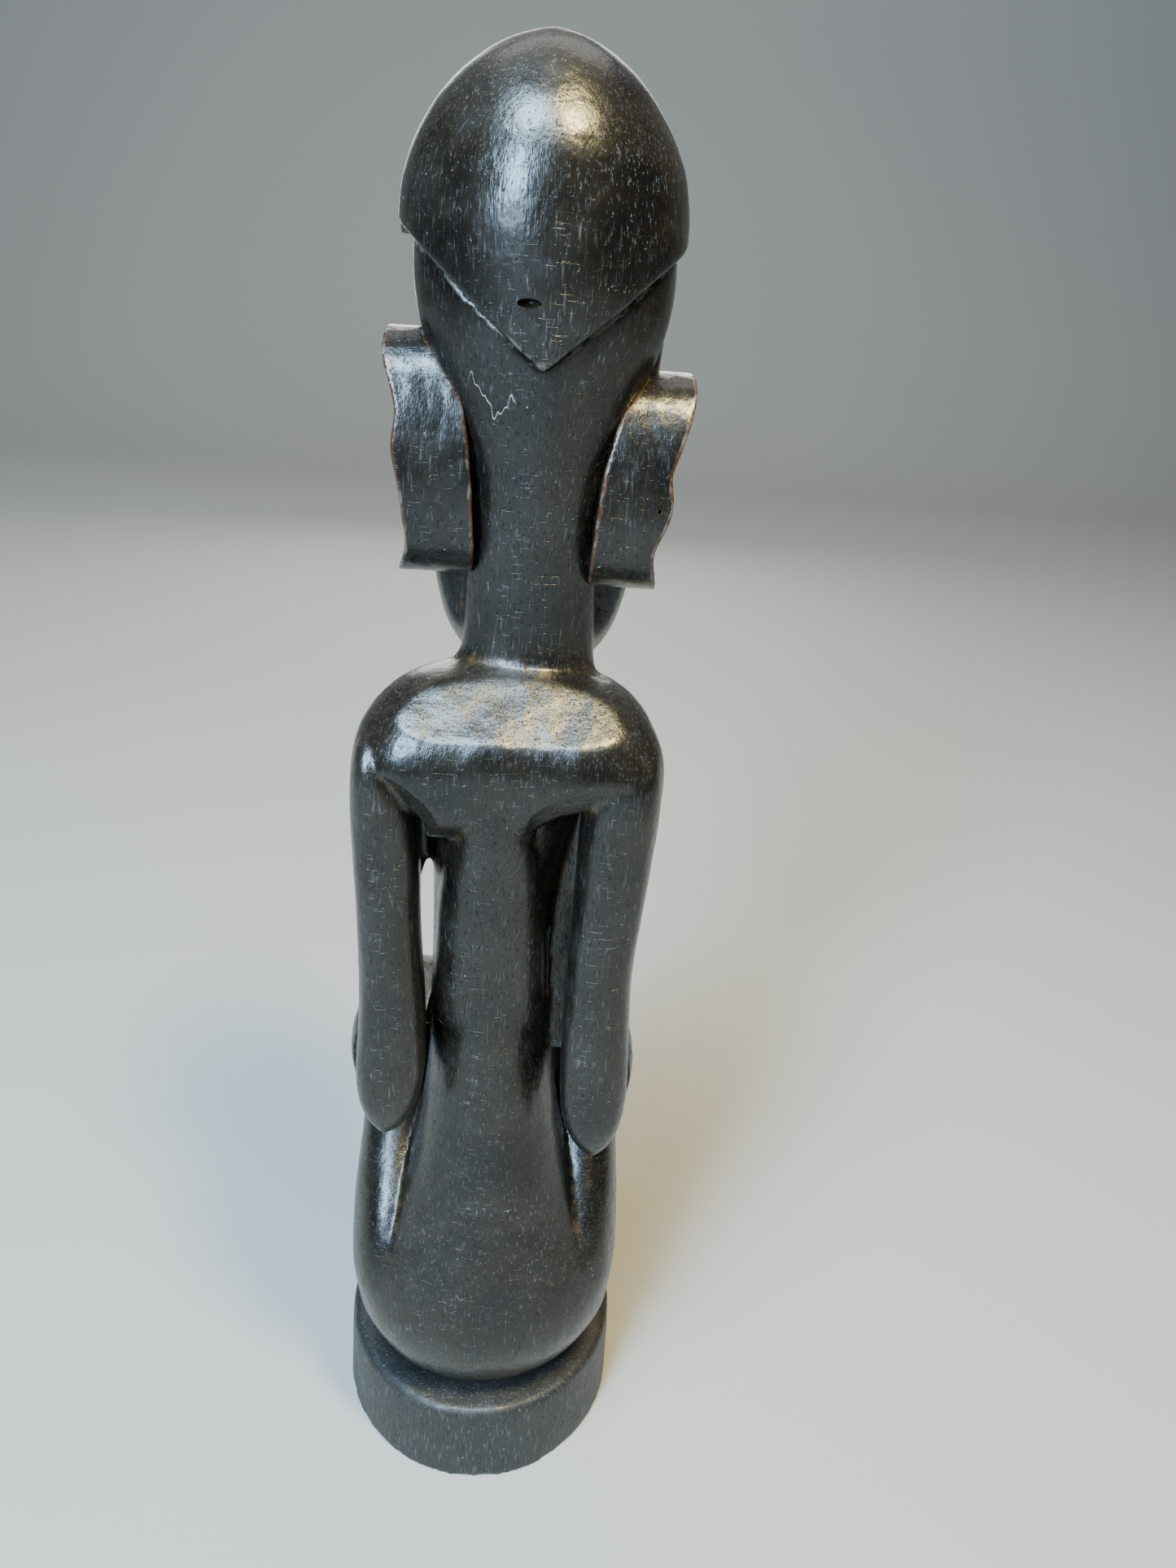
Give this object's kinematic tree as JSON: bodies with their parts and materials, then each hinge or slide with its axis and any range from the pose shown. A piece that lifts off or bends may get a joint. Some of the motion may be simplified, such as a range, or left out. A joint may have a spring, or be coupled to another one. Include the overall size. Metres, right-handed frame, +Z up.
{
  "type": "carved ancestor figure",
  "caption": "Squatting ancestor figure of dark carved wood on a round plinth, hands on knees, with a domed cap of hair and long curved ears.",
  "frame": {"origin": "centre of the plinth's underside", "axes": "+Z up the figure, the face looks towards -Y, the figure's own left is +X"},
  "size_m": [0.0668, 0.072, 0.3],
  "materials": {
    "dark_wood": "ebonised hardwood, hand-rubbed satin, fine lengthwise grain with grey dust in the pores",
    "polished_wood": "ebonised hardwood, polished by handling, with short cross scratches",
    "rubbed_wood": "ebonised hardwood with the stain rubbed through to red-brown at the outer edges",
    "worn_wood": "dull, knife-cut and scuffed, grey-brown where the stain has worn"
  },
  "bodies": {
    "root": {"abdomen": "dark_wood", "chest": "dark_wood", "ear_left": "rubbed_wood", "ear_right": "rubbed_wood", "face": "dark_wood", "foot_left": "dark_wood", "foot_right": "dark_wood", "forearm_left": "dark_wood", "forearm_right": "dark_wood", "hair_cap": "polished_wood", "hand_left": "dark_wood", "hand_right": "dark_wood", "neck": "dark_wood", "pelvis": "dark_wood", "plinth": "worn_wood", "shin_left": "dark_wood", "shin_right": "dark_wood", "skull": "dark_wood", "thigh_left": "dark_wood", "thigh_right": "dark_wood", "upper_arm_left": "dark_wood", "upper_arm_right": "dark_wood"}
  },
  "joints": []
}
